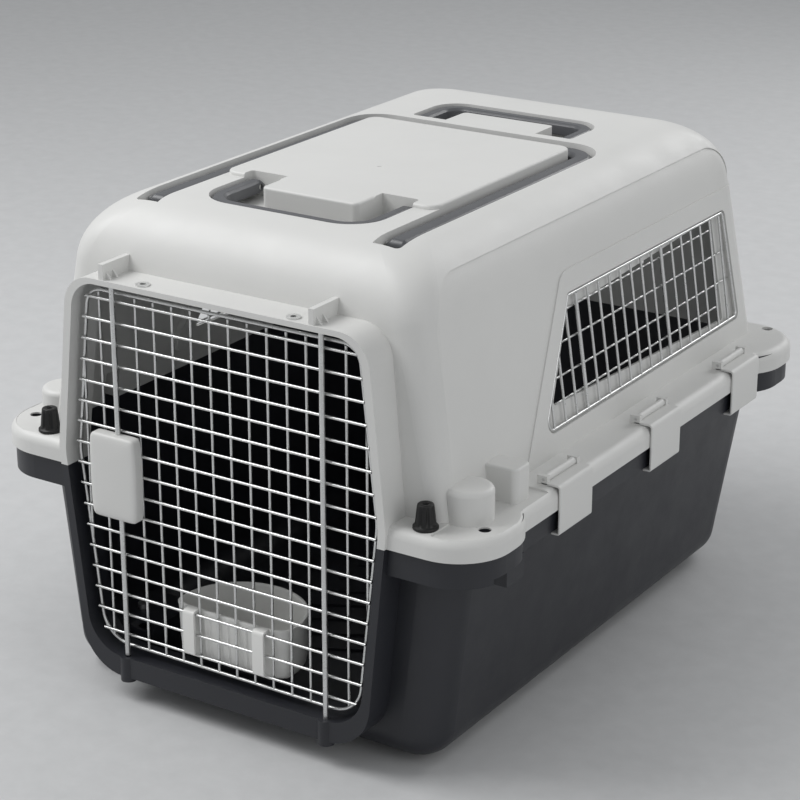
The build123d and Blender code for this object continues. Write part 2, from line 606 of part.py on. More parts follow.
def latch_back():
    x, w, h = -ROD_X, LATCH_WIDTH / 2 - 2, LATCH_HEIGHT / 2 - 2
    plate = block(x - w, x + w, PLATE_Y, PLATE_Y + 2.5, LATCH_Z - h, LATCH_Z + h)
    plate = fillet(plate.edges().filter_by(Axis.Y), 4)
    for z in SCREW_Z:
        plate -= rod_along_y(PLATE_Y - 1, PLATE_Y + 4, SCREW_X, z, SCREW_R + TOUCH)
    return plate


def latch_screws():
    screws = []
    for z in SCREW_Z:
        screw = rod_along_y(LATCH_FRONT + 6, PLATE_Y + 2.6, SCREW_X, z, SCREW_R)
        screw += rod_along_y(PLATE_Y + 2.5 + TOUCH, PLATE_Y + 4.5, SCREW_X, z, 3.2)
        screws.append(screw)
    return group(screws)


def side_clip(y):
    """Right-hand clip: knuckle on the rim, plate down its side, hook below."""
    half = CLIP_WIDTH / 2
    inner = CLIP_OUT - 3.4
    neck = half - LUG - FREE
    clip = block(inner, CLIP_OUT, y - half, y + half, HOOK_TOP - 3.2, CLIP_AXIS_Z)
    clip += block(CLIP_AXIS_X + 6, CLIP_OUT, y - half, y + half, CLIP_AXIS_Z - 3.6, CLIP_AXIS_Z)
    outer = clip.edges().filter_by(Axis.Y).group_by(Axis.X)[-1].sort_by(Axis.Z)
    clip = fillet(outer[-1], 3.0)
    clip += block(CLIP_AXIS_X, CLIP_AXIS_X + 7, y - neck, y + neck, CLIP_AXIS_Z - 3.6, CLIP_AXIS_Z)
    clip += rod_along_y(y - neck, y + neck, CLIP_AXIS_X, CLIP_AXIS_Z, 4)
    clip += block(HOOK_TIP, CLIP_OUT, y - half, y + half, HOOK_TOP - 3.2, HOOK_TOP)
    return clip - rod_along_y(y - half, y + half, CLIP_AXIS_X, CLIP_AXIS_Z, CLIP_PIN / 2 + RUN)


def clip_pins():
    pins = []
    for y in CLIP_Y:
        half = CLIP_WIDTH / 2 - 0.3
        pins += mirrored(rod_along_y(y - half, y + half, CLIP_AXIS_X, CLIP_AXIS_Z, CLIP_PIN / 2))
    return group(pins)


def knob(side):
    """Fluted cone on a flange, bored right through."""
    foot, top = RIM_TOP + TOUCH, RIM_TOP + 22
    body = Pos(0, 0, foot) * extrude(Circle(11), amount=2.5)
    body += Pos(0, 0, foot + 2) * loft([Circle(9.2), Pos(0, 0, top - foot - 2) * Circle(7)])
    for k in range(8):
        body -= Rot(0, 0, 45 * k) * Pos(9.6, 0, foot + 13) * Rot(0, -6, 0) * Cylinder(1.7, 21)
    body -= Pos(0, 0, foot + 10) * Cylinder(BOLT / 2 + RUN, 30)
    return Pos(side * KNOB_X, KNOB_Y, 0) * body


def knob_bolts():
    under = RIM_TOP - 2 * WALL - 2 * TOUCH
    bolts = []
    for side in (-1, 1):
        bolt = post(side * KNOB_X, KNOB_Y, BOLT / 2, under - 1, RIM_TOP + 18)
        bolt += post(side * KNOB_X, KNOB_Y, 6, under - 3, under)
        bolts.append(bolt)
    return group(bolts)


def eyelets():
    rings = []
    for side in (-1, 1):
        ring = post(side * EYELET_X, EYELET_Y, 6.5, LEDGE_TOP + TOUCH, LEDGE_TOP + 1.2)
        ring += post(side * EYELET_X, EYELET_Y, EYELET_R - TOUCH, OPENING_TOP, LEDGE_TOP + 1)
        rings.append(ring - post(side * EYELET_X, EYELET_Y, 2.6, 390, 410))
    return group(rings)


def d_outline(half, front, depth, z):
    """D-shaped plan: straight front, round back."""
    straight = depth - half
    face = Pos(BOWL_X, front + straight / 2, z) * Rectangle(2 * half, straight)
    circle = Pos(BOWL_X, front + straight, z) * Circle(half)
    return face + (circle & Pos(BOWL_X, front + straight + half / 2, z) * Rectangle(2 * half + 2, half))


def bowl():
    front = UPRIGHT_Y + WIRE / 2 + FREE
    foot = d_outline(BOWL_HALF - 5, front, 86, BOWL_BOTTOM)
    shape = loft([foot, d_outline(BOWL_HALF, front, 92, BOWL_TOP)])
    low = d_outline(BOWL_HALF - 5 - BOWL_WALL, front + BOWL_WALL, 86 - 2 * BOWL_WALL, BOWL_BOTTOM + BOWL_WALL)
    high = d_outline(BOWL_HALF - BOWL_WALL, front + BOWL_WALL, 92 - 2 * BOWL_WALL, BOWL_TOP + 0.1)
    shape -= loft([low, high])
    for x in HOOK_X:
        shape += block(x - 5, x + 5, DOOR_Y - 4.2, front + 2, BOWL_TOP - 2.6, BOWL_TOP)
        shape += block(x - 5, x + 5, DOOR_Y - 4.2, DOOR_Y - 1.7, BOWL_TOP - 12, BOWL_TOP)
    return shape


def grille():
    """Right window's wires: frame, uprights and crosswires."""
    frame_plane = window_plane(GRILLE_DEPTH)
    edge = quad(WINDOW, -3.0)
    frame = ring_wire(frame_plane * edge, WIRE)
    core = extrude(window_plane(-20) * offset(edge, -WIRE / 2 - TOUCH), amount=-40)
    uprights = []
    for k in range(18):
        thick = WIRE + 1.2 if k in THICK_UPRIGHTS else WIRE
        place = frame_plane * Pos(-101 + 20.8 * k, 0, -(thick - WIRE) / 2) * Rot(90, 0, 0)
        uprights += (place * Cylinder(thick / 2, 200) & core).solids()
    rows = []
    behind = window_plane(GRILLE_DEPTH + WIRE + 1.0)
    room = window_prism(WINDOW, -FREE, -20, 40)
    for height, y0, y1 in GRILLE_ROWS:
        wire = behind * Pos((y0 + y1) / 2, height, 0) * Rot(0, 90, 0) * Cylinder(1.0, y1 - y0)
        rows += (wire & room).solids()
    return frame, uprights, rows


def caster_stud():
    """Flanged stud under the well's roof; the fork turns on its journal."""
    stud = post(0, 0, 17, WELL_TOP - 3 - TOUCH, WELL_TOP - TOUCH)
    stud += post(0, 0, STUD_R, WELL_TOP - 3, WELL_TOP + WALL + 5)
    stud += post(0, 0, JOURNAL_R, CROWN_LOW - 2, WELL_TOP - 2)
    return stud + post(0, 0, 7, CROWN_LOW - 1.8, CROWN_LOW - 0.2)


def caster_fork():
    crown = post(0, 0, 13.5, CROWN_LOW, WELL_TOP - 3.3)
    crown -= post(0, 0, JOURNAL_R + RUN, 0, 100)
    leg = block(FORK_IN, FORK_OUT, -6, 10, CROWN_LOW - 3, WELL_TOP - 3.3)
    leg += extrude(Plane.YZ.offset(FORK_IN) * make_face(Polyline(
        (-6, CROWN_LOW), (10, CROWN_LOW), (TRAIL + 6, WHEEL_R), (TRAIL - 6, WHEEL_R), close=True)),
        amount=FORK_OUT - FORK_IN)
    leg += rod_along_x(FORK_IN, FORK_OUT, TRAIL, WHEEL_R, 6)
    leg -= rod_along_x(FORK_IN - 1, FORK_OUT + 1, TRAIL, WHEEL_R, AXLE_R + 0.01)
    fork = crown
    for side in mirrored(leg):
        fork += side
    return fork


def caster_wheel():
    tyre = rod_along_x(-WHEEL_WIDTH / 2, WHEEL_WIDTH / 2, TRAIL, WHEEL_R, WHEEL_R)
    tyre = chamfer(tyre.edges().filter_by(GeomType.CIRCLE), 2.0)
    for side in (-1, 1):
        dish = sorted((side * WHEEL_WIDTH, side * (WHEEL_WIDTH / 2 - 2)))
        tyre -= rod_along_x(*dish, TRAIL, WHEEL_R, 11) - rod_along_x(*dish, TRAIL, WHEEL_R, 5)
    return tyre - rod_along_x(-20, 20, TRAIL, WHEEL_R, AXLE_R + RUN)


def caster_axle():
    return rod_along_x(-FORK_OUT - 0.8, FORK_OUT + 0.8, TRAIL, WHEEL_R, AXLE_R)


def save_all():
    save(upper_shell(), "upper_shell")
    save(lower_shell(), "lower_shell")
    save(clip_pins(), "clip_pins")
    save(group(pivot_rods(PIN / 2, 0)[0:2]), "pull_bar_pins")
    save(group(pivot_rods(PIN / 2, 0)[2:4]), "front_handle_pins")
    save(group(pivot_rods(PIN / 2, 0)[4:6]), "rear_handle_pins")
    save(bar_frame(BAR_X + BAR_WIDTH / 2, BAR_WIDTH, BAR_PIVOT_Y, BAR_CROSS_Y, BAR_TOP, BAR_CORNER), "pull_bar")
    save(bar_frame(HANDLE_HALF, HANDLE_BAR, FRONT_PIVOT_Y, FRONT_GRIP_Y, HANDLE_TOP, FRONT_CORNER), "front_handle")
    save(bar_frame(REAR_HALF, HANDLE_BAR, REAR_PIVOT_Y, REAR_GRIP_Y, HANDLE_TOP, REAR_CORNER), "rear_handle")
    uprights, rows, frame = door_wires()
    save(frame, "door_frame_wire")
    save(group(uprights), "door_uprights")
    save(group(rows), "door_crosswires")
    save(post(ROD_X, ROD_Y, ROD / 2, 35, SOCKET_TOP - 1), "hinge_rod")
    save(latch_cover(), "latch_cover")
    save(latch_back(), "latch_back")
    save(latch_screws(), "latch_screws")
    for up, name in ((1, "upper"), (-1, "lower")):
        save(latch_slide(up), "latch_slide_" + name)
        save(latch_rod(up), "latch_rod_" + name)
        save(latch_spring(up), "latch_spring_" + name)
    save(bowl(), "bowl")
    save(knob_bolts(), "knob_bolts")
    save(eyelets(), "ledge_eyelets")
    for side, name in ((1, "right"), (-1, "left")):
        save(knob(side), "knob_" + name)
    for side, name in ((0, "right"), (1, "left")):
        frame, uprights, rows = grille()
        save(mirrored(frame)[side], "grille_frame_" + name)
        save(group([mirrored(wire)[side] for wire in uprights]), "grille_uprights_" + name)
        save(group([mirrored(wire)[side] for wire in rows]), "grille_crosswires_" + name)
        for y, place in zip(CLIP_Y, ("front", "middle", "rear")):
            save(mirrored(side_clip(y))[side], "clip_" + name + "_" + place)
    for x, y in caster_sites():
        name = ("left_" if x < 0 else "right_") + ("front" if y < 0 else "rear")
        for piece, label in ((caster_stud(), "stud"), (caster_fork(), "fork"),
                             (caster_wheel(), "wheel"), (caster_axle(), "axle")):
            save(Pos(x, y, 0) * piece, "caster_" + label + "_" + name)


save_all()
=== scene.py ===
"""Looks of the wheeled pet carrier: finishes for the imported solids, the
smooth moulded and bent pieces that stand for some of them, and the stage.

Everything is in metres in the carrier's frame: +X to the side with the
door's hinge rod, -Y out of the door, +Z up, origin on the floor.
"""

import json
import math

import bmesh
import bpy
import numpy as np
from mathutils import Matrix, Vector


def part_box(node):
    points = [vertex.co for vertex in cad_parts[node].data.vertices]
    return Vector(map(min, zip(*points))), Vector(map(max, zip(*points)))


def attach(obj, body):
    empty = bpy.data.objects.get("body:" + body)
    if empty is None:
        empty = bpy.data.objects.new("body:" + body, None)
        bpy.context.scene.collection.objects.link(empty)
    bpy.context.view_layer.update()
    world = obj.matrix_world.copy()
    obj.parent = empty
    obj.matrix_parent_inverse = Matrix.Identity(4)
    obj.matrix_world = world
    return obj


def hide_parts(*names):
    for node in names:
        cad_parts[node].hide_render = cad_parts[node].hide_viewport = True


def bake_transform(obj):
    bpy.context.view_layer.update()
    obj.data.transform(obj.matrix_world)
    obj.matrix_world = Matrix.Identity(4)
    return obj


bl_info = {
    "name": "Pet Carrier Finish",
    "version": (1, 0, 0),
    "blender": (4, 5, 0),
    "location": "View3D > Sidebar > Carrier",
    "description": "Finishes and fine pieces for a wheeled pet carrier",
    "category": "Object",
}

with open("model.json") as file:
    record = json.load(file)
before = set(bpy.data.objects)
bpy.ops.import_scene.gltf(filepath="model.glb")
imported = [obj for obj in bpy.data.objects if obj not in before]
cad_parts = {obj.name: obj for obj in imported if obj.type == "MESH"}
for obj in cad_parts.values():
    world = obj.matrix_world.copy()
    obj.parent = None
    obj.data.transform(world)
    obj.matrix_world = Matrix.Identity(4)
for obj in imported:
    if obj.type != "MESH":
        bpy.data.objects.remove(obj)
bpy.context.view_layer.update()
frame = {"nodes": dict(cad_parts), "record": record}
NODES = frame["nodes"]

FULL_TURN = 2 * math.pi

# Edges that turn by more than these stay sharp, or get a small bevel
SHARP_TURN = math.radians(38)
BEVEL_TURN = math.radians(50)

# Points round a knob, the bowl, the latch cover and a clip's eye, and along
# each turn of a spring and round its wire
KNOB_POINTS, BOWL_POINTS, COVER_POINTS, EYE_POINTS = 192, 420, 240, 36
COIL_STEPS, COIL_SIDES = 24, 8

# The knobs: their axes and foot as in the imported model, the flutes with the
# heights between which they fade in and out, and the core that they spare
KNOB_CENTRES = {"left": (-0.202, -0.3035), "right": (0.202, -0.3035)}
KNOB_FOOT = 0.24105
FLUTES, FLUTE_DEPTH, FLUTE_POWER = 8, 0.0013, 0.7
FLUTE_HEIGHTS, FLUTE_SHARES = (0.0028, 0.0055, 0.0185, 0.0216), (0.0, 1.0, 1.0, 0.0)
KNOB_CORE = 0.0065

# The casters: where they swivel, the wheel's radius, and how far behind the
# swivel its axle lies
CASTER_PLACES = {
    "left_front": (-0.150, -0.246),
    "left_rear": (-0.150, 0.216),
    "right_front": (0.150, -0.246),
    "right_rear": (0.150, 0.216),
}
WHEEL_RADIUS, WHEEL_TRAIL = 0.018, 0.012

# The three bars on the roof: half width, width, end of the legs, middle of
# the cross piece, top, and outer plan radius; all are equally deep
BARS = {
    "pull_bar": (0.136, 0.020, -0.232, 0.107, 0.457, 0.034),
    "front_handle": (0.088, 0.013, -0.140, -0.218, 0.4585, 0.034),
    "rear_handle": (0.088, 0.013, 0.134, 0.191, 0.4585, 0.026),
}
BAR_DEPTH = 0.012

# A bar's section: run of the slope beside its top as a share of the width,
# fall of the slope as a share of that run, and the radii of the six corners
# from one foot over the top to the other
SLOPE_RUN, SLOPE_FALL = 0.22, 0.8
SECTION_RADII = (0.002, 0.0012, 0.0012, 0.002, 0.0012, 0.0012)

# Points in each corner of a bar's section, in each bend of its U and in each
# round end of its legs, and the angle at which such an end starts
SECTION_STEPS, BEND_STEPS, END_STEPS = 5, 14, 8
END_START = 0.08

# The bowl: centre line, front face, rim, foot, half width, distance from
# the front to the widest line, depth, and the power of its front's outline
BOWL_X, BOWL_FRONT = -0.001, -0.31015
BOWL_TOP, BOWL_FOOT = 0.108, 0.0585
BOWL_HALF, BOWL_MIDDLE, BOWL_DEPTH = 0.062, 0.020, 0.078
BOWL_FRONT_POWER = 5

# The ribs on the bowl's front: places, half width, how far they stand out,
# how far behind the front face they end, and over what stretch they fade
RIB_X = (-0.026, -0.021, -0.006, -0.001, 0.014, 0.019)
RIB_WIDTH, RIB_DEPTH = 0.0010, 0.0012
RIB_END, RIB_FADE = 0.010, 0.004

# The lugs that hang the bowl on the door's wires: places, half width, front,
# foot, thickness, how far behind the bowl's front face and how high they
# start and turn forward, and the radii of their two bends
LUG_X = (-0.0385, 0.0378)
LUG_HALF, LUG_FRONT, LUG_FOOT = 0.0060, -0.3187, 0.0660
LUG_THICK, LUG_BEVEL = 0.0024, 0.0008
LUG_ROOT, LUG_CREST = (0.0018, 0.0985), (0.0008, 0.1068)
LUG_RADII = (0.0012, 0.0024)

# The latch: its middle, its cover's half sizes, how far the cover sits from
# that middle, its front and back, the power of its outline, how far its
# sides bow, and how far the middle of its face stands out
LATCH_X, LATCH_Z = -0.110, 0.2195
LATCH_HALF, LATCH_TALL = 0.0260, 0.0400
COVER_SHIFT = (-0.0022, 0.0022)
LATCH_FRONT, LATCH_BACK = -0.3275, -0.31585
COVER_POWER, COVER_BOW, COVER_CROWN = 14, 0.05, 0.0003

# The slot in the cover's side where the finger slides look out: how far left
# of the latch's middle it starts, half its height, and its bottom
SLOT_START, SLOT_TALL, SLOT_FRONT = 0.02, 0.027, -0.32195

# The latch's back plate: its two sides, its front and back, and half its
# height; then the depth at which the springs lie
PLATE_SIDES, PLATE_DEPTH, PLATE_TALL = (-0.1360, -0.0925), (-0.3105, -0.3075), 0.0365
SPRING_Y = -0.31935

# The side clips: places along the rim, pin, outer face, top, lower edge, end
# of the hook, how far inside the pin the plate starts, thickness, radius of
# the eye, half lengths of plate and eye, and the radii of the two bends
CLIP_PLACES = {"front": -0.143, "middle": 0.028, "rear": 0.199}
CLIP_PIN = (0.238, 0.246)
CLIP_OUT, CLIP_TOP, CLIP_LOW = 0.2555, 0.2434, 0.197
CLIP_HOOK, CLIP_START = 0.2470, 0.0020
CLIP_THICK, CLIP_EYE = 0.0020, 0.0034
CLIP_HALF, CLIP_NECK = 0.029, 0.0236
CLIP_RADII, CLIP_BEVEL = (0.0030, 0.0016), 0.0005

# The two tones of the knobs, the bowl, the wheels, the wires and the pins
KNOB_TONES = ((0.004, 0.004, 0.004), (0.003, 0.003, 0.003))
BOWL_TONES = ((0.80, 0.80, 0.78), (0.76, 0.76, 0.74))
WHEEL_TONES = ((0.035, 0.035, 0.038), (0.028, 0.028, 0.03))
ZINC_TONES = ((0.74, 0.745, 0.74), (0.66, 0.665, 0.66))
STEEL_TONES = ((0.60, 0.60, 0.60), (0.46, 0.46, 0.47))
CLEAN_WHITE = (0.80, 0.81, 0.80, 1.0)

# The lamps: place, target, side, and power as a share of the key lamp's
LAMPS = {
    "key_lamp": ((-1.5, -0.9, 2.2), (0, 0, 0.25), 1.6, 1.0),
    "fill_lamp": ((2.5, -0.6, 1.2), (0, 0, 0.25), 1.8, 0.235),
    "back_lamp": ((0.6, 2.4, 1.6), (0, 0, 0.3), 1.4, 0.42),
}
ROOM_COLOUR = (0.97, 0.985, 1.0, 1.0)

# The floor: half its side, lines of points each way, two tones, roughness
FLOOR_HALF, FLOOR_LINES = 6, 13
FLOOR_TONES = ((0.56, 0.565, 0.57, 1.0), (0.60, 0.605, 0.61, 1.0))
FLOOR_ROUGHNESS = 0.7

# The camera: place, direction, and sensor in millimetres
CAMERA_PLACE = (1.1461, -1.7992, 1.0242)
CAMERA_AIM = (-0.5085, 0.7847, -0.3545)
CAMERA_SENSOR = 36.0


class ShellFinish(bpy.types.PropertyGroup):
    """Colours and grain of the moulded plastics"""

    upper_colour: bpy.props.FloatVectorProperty(
        name="Upper shell",
        description="Colour of the upper shell, clips and latch",
        subtype="COLOR",
        size=3,
        min=0.0,
        max=1.0,
        default=(0.70, 0.70, 0.685),
    )
    lower_colour: bpy.props.FloatVectorProperty(
        name="Lower shell",
        description="Colour of the tub",
        subtype="COLOR",
        size=3,
        min=0.0,
        max=1.0,
        default=(0.0195, 0.0208, 0.0265),
    )
    handle_colour: bpy.props.FloatVectorProperty(
        name="Handles",
        description="Colour of the handles and the pull bar",
        subtype="COLOR",
        size=3,
        min=0.0,
        max=1.0,
        default=(0.098, 0.101, 0.109),
    )
    grain_size: bpy.props.FloatProperty(
        name="Grain size",
        description="Width of one bump of the mould's fine texture",
        unit="LENGTH",
        min=0.0001,
        max=0.01,
        default=0.0011,
    )


class MetalFinish(bpy.types.PropertyGroup):
    """Finish of the plated wires and the steel pins"""

    wire_roughness: bpy.props.FloatProperty(
        name="Wire roughness",
        description="Roughness of the bright zinc on the wires",
        min=0.02,
        max=1.0,
        default=0.32,
    )
    steel_roughness: bpy.props.FloatProperty(
        name="Steel roughness",
        description="Roughness of pins, screws and studs",
        min=0.02,
        max=1.0,
        default=0.38,
    )


class StageSettings(bpy.types.PropertyGroup):
    """Lamps, room light and camera"""

    lens: bpy.props.FloatProperty(
        name="Lens",
        description="Focal length of the camera on a 36 mm sensor",
        unit="CAMERA",
        min=20.0,
        max=300.0,
        default=105.6,
    )
    key_power: bpy.props.FloatProperty(
        name="Key lamp",
        description="Power of the large soft lamp above the carrier, which the other lamps follow",
        unit="POWER",
        min=0.0,
        max=500.0,
        default=46.0,
    )
    world_strength: bpy.props.FloatProperty(
        name="Room light",
        description="Strength of the even light from the room",
        min=0.0,
        max=3.0,
        default=0.42,
    )


# Meshes from grids of points

def add_mesh(name, points, faces, smooth=True, closed=False):
    """Object from rows of points and index faces, at the origin.

    A closed mesh has its faces turned outward, and keeps its sharp edges.
    """
    mesh = bpy.data.meshes.new(name)
    mesh.from_pydata(points.reshape(-1, 3).tolist(), [], [list(map(int, f)) for f in faces])
    if closed:
        shape = bmesh.new()
        shape.from_mesh(mesh)
        bmesh.ops.recalc_face_normals(shape, faces=shape.faces)
        shape.to_mesh(mesh)
        shape.free()
    mesh.polygons.foreach_set("use_smooth", np.full(len(mesh.polygons), smooth))
    if closed:
        mesh.set_sharp_from_angle(angle=SHARP_TURN)
    mesh.update()
    piece = bpy.data.objects.new(name, mesh)
    bpy.context.scene.collection.objects.link(piece)
    return piece


def grid_faces(rows, columns, close_rows=False, close_columns=False):
    """Index quads of a grid: row by row, wrapped round where it closes."""
    r = np.arange(rows if close_rows else rows - 1)
    c = np.arange(columns if close_columns else columns - 1)
    i, j = (a.ravel() for a in np.meshgrid(r, c, indexing="ij"))
    down, right = (i + 1) % rows, (j + 1) % columns
    return np.stack([i * columns + j, i * columns + right, down * columns + right, down * columns + j], 1)


def capped_tube(name, rings):
    """Closed piece from a stack of rings, with a face over each end ring."""
    rows, count = rings.shape[:2]
    faces = list(grid_faces(rows, count, close_columns=True))
    faces += [range(count), range((rows - 1) * count, rows * count)]
    return add_mesh(name, rings, faces, closed=True)


def turned_about_x(profile, centre, segments=96):
    """Surface of a closed profile turned about an axis along X.

    With profile points (r, h) and angle a, a point is the centre plus
    r cos a along Y, r sin a along Z and h along X.
    """
    ring = np.asarray(profile, float)
    a = np.linspace(0, FULL_TURN, segments, endpoint=False)
    across, up = np.outer(np.cos(a), ring[:, 0]), np.outer(np.sin(a), ring[:, 0])
    along = np.broadcast_to(ring[:, 1], across.shape)
    return np.stack((along, across, up), -1) + np.asarray(centre, float)


def evenly(curve, count):
    """The same closed curve through count points, evenly spaced along it."""
    loop = np.vstack([curve, curve[:1]])
    run = np.concatenate([[0.0], np.cumsum(np.linalg.norm(np.diff(loop, axis=0), axis=1))])
    places = np.linspace(0, run[-1], count, endpoint=False)
    return np.stack([np.interp(places, run, loop[:, k]) for k in range(loop.shape[1])], -1)


def rounded_corners(points, radii, steps=6):
    """Polyline with each corner replaced by an arc.

    The arc's tangent points lie r tan(t / 2) from the corner, where t is the
    turn, and the arc runs round a centre r from both of them.
    """
    points = np.asarray(points, float)
    made = [points[:1]]
    for k in range(1, len(points) - 1):
        back, ahead = points[k - 1] - points[k], points[k + 1] - points[k]
        back, ahead = back / np.linalg.norm(back), ahead / np.linalg.norm(ahead)
        half = math.acos(float(np.clip(back @ ahead, -1, 1))) / 2
        middle = (back + ahead) / np.linalg.norm(back + ahead)
        centre = points[k] + middle * radii[k - 1] / math.sin(half)
        first = points[k] + back * radii[k - 1] / math.tan(half) - centre
        last = points[k] + ahead * radii[k - 1] / math.tan(half) - centre
        share = np.linspace(0, 1, steps)[:, None]
        sweep = math.pi - 2 * half
        arc = (np.sin((1 - share) * sweep) * first + np.sin(share * sweep) * last) / math.sin(sweep)
        made.append(centre + arc)
    return np.vstack(made + [points[-1:]])


def side_of(path):
    """Unit normal of a plane path at each of its points, to its left."""
    ahead = np.gradient(path, axis=0)
    ahead /= np.linalg.norm(ahead, axis=1)[:, None]
    return np.stack([-ahead[:, 1], ahead[:, 0]], -1)


def strip_outline(path, thickness):
    """Closed outline of a bent plate: the path moved half the thickness to
    each side along its normal."""
    normal = side_of(path)
    return np.vstack([path + normal * thickness / 2, (path - normal * thickness / 2)[::-1]])


def drawn_along(outline, places, order, name, bevel=0.0004):
    """Closed solid whose outline (u, v) is carried straight through places.

    order says which of u, v and the place is x, y and z.
    """
    rings = []
    for place in places:
        axes = {"u": outline[:, 0], "v": outline[:, 1], "w": np.full(len(outline), place)}
        rings.append(np.stack([axes[letter] for letter in order], -1))
    piece = capped_tube(name, np.stack(rings))
    edge = piece.modifiers.new("soft_edges", "BEVEL")
    edge.width = bevel
    edge.segments = 2
    edge.limit_method = "ANGLE"
    edge.angle_limit = BEVEL_TURN
    return piece


# Shader node groups and materials

def new_group(name, inputs):
    """Empty finish group, its input node and its output node."""
    group = bpy.data.node_groups.new(name, "ShaderNodeTree")
    for label, kind, value in inputs:
        socket = group.interface.new_socket(label, in_out="INPUT", socket_type=kind)
        socket.default_value = value
    for label, kind in (("Colour", "Color"), ("Roughness", "Float"), ("Normal", "Vector")):
        group.interface.new_socket(label, in_out="OUTPUT", socket_type="NodeSocket" + kind)
    return group, group.nodes.new("NodeGroupInput"), group.nodes.new("NodeGroupOutput")


def noise(tree, vector, scale, detail=2.0, roughness=0.5):
    """Value of a noise texture."""
    node = tree.nodes.new("ShaderNodeTexNoise")
    node.inputs["Scale"].default_value = scale
    node.inputs["Detail"].default_value = detail
    node.inputs["Roughness"].default_value = roughness
    tree.links.new(vector, node.inputs["Vector"])
    return node.outputs["Fac"]


def spread(tree, value, found, wanted=(0.0, 1.0)):
    """A value carried from the range found to the range wanted."""
    node = tree.nodes.new("ShaderNodeMapRange")
    for label, number in zip(("From Min", "From Max", "To Min", "To Max"), (*found, *wanted)):
        node.inputs[label].default_value = number
    tree.links.new(value, node.inputs["Value"])
    return node.outputs["Result"]


def mixed(tree, factor, first, second):
    """Mix of two colours, each a colour or an output socket."""
    node = tree.nodes.new("ShaderNodeMix")
    node.data_type = "RGBA"
    tree.links.new(factor, node.inputs["Factor"])
    for socket, value in ((node.inputs["A"], first), (node.inputs["B"], second)):
        if isinstance(value, bpy.types.NodeSocket):
            tree.links.new(value, socket)
        else:
            socket.default_value = value
    return node.outputs["Result"]


def bumped(group, height, end):
    """Lifts the surface by a height, and gives the socket that scales it."""
    bump = group.nodes.new("ShaderNodeBump")
    group.links.new(height, bump.inputs["Height"])
    group.links.new(bump.outputs["Normal"], end.inputs["Normal"])
    return bump.inputs["Distance"]


def roughened(group, start, shift, end):
    """Adds a shift that changes over the surface to the group's roughness."""
    add = group.nodes.new("ShaderNodeMath")
    group.links.new(start.outputs["Roughness"], add.inputs[0])
    group.links.new(shift, add.inputs[1])
    group.links.new(add.outputs["Value"], end.inputs["Roughness"])


def moulded_group():
    """Colour, roughness and normal of grained plastic.

    Fine noise lifts the surface as mould grain, and slow noise shifts the
    colour and the roughness a little over each piece.
    """
    group, start, end = new_group("moulded_plastic", [
        ("Colour", "NodeSocketColor", CLEAN_WHITE),
        ("Shade", "NodeSocketColor", CLEAN_WHITE),
        ("Roughness", "NodeSocketFloat", 0.5),
        ("Grain", "NodeSocketFloat", 900.0),
        ("Height", "NodeSocketFloat", 0.00003),
    ])
    place = group.nodes.new("ShaderNodeTexCoord").outputs["Object"]
    slow = spread(group, noise(group, place, scale=7.0, detail=4.0, roughness=0.6), (0.32, 0.68))
    group.links.new(mixed(group, slow, start.outputs["Colour"], start.outputs["Shade"]), end.inputs["Colour"])
    rubbing = noise(group, place, scale=23.0, detail=5.0, roughness=0.65)
    roughened(group, start, spread(group, rubbing, (0.3, 0.7), (-0.05, 0.06)), end)
    grain = group.nodes.new("ShaderNodeTexNoise")
    grain.inputs["Detail"].default_value = 3.0
    group.links.new(place, grain.inputs["Vector"])
    group.links.new(start.outputs["Grain"], grain.inputs["Scale"])
    group.links.new(start.outputs["Height"], bumped(group, grain.outputs["Fac"], end))
    return group


def plated_group():
    """Colour, roughness and normal of drawn and plated wire.

    Slow noise mixes bright and dull plating into clouds, a finer noise
    shifts the roughness, and the finest lifts the surface a little.
    """
    group, start, end = new_group("plated_metal", [
        ("Bright", "NodeSocketColor", CLEAN_WHITE),
        ("Dull", "NodeSocketColor", CLEAN_WHITE),
        ("Roughness", "NodeSocketFloat", 0.3),
    ])
    place = group.nodes.new("ShaderNodeTexCoord").outputs["Object"]
    cloud = spread(group, noise(group, place, scale=60.0, detail=4.0, roughness=0.6), (0.35, 0.65))
    group.links.new(mixed(group, cloud, start.outputs["Bright"], start.outputs["Dull"]), end.inputs["Colour"])
    marks = noise(group, place, scale=420.0, detail=3.0, roughness=0.6)
    roughened(group, start, spread(group, marks, (0.3, 0.7), (-0.08, 0.10)), end)
    bumped(group, noise(group, place, scale=900.0), end).default_value = 0.00002
    return group


def start_material(name):
    """The material of this name, with its tree and shader if it is new."""
    material = bpy.data.materials.get(name)
    if material:
        return material, None, None
    material = bpy.data.materials.new(name)
    material.use_nodes = True
    return material, material.node_tree, material.node_tree.nodes["Principled BSDF"]


def finished(name, group_name, maker, values, metallic=0.0):
    """Material whose look comes from a finish group with these values."""
    material, tree, shader = start_material(name)
    if tree is None:
        return material
    finish = tree.nodes.new("ShaderNodeGroup")
    finish.node_tree = bpy.data.node_groups.get(group_name) or maker()
    for label, value in values.items():
        finish.inputs[label].default_value = value
    shader.inputs["Metallic"].default_value = metallic
    for label, socket in (("Colour", "Base Color"), ("Roughness", "Roughness"), ("Normal", "Normal")):
        tree.links.new(finish.outputs[label], shader.inputs[socket])
    return material


def plastic(name, colour, shade, roughness, grain_size, height):
    """Grained plastic: its two tones, and the size and height of its grain."""
    return finished(name, "moulded_plastic", moulded_group, {
        "Colour": (*colour, 1.0),
        "Shade": (*shade, 1.0),
        "Roughness": roughness,
        "Grain": 1.0 / grain_size,
        "Height": height,
    })


def metal(name, bright, dull, roughness):
    """Plated or plain metal in two tones."""
    return finished(name, "plated_metal", plated_group, {
        "Bright": (*bright, 1.0),
        "Dull": (*dull, 1.0),
        "Roughness": roughness,
    }, metallic=1.0)


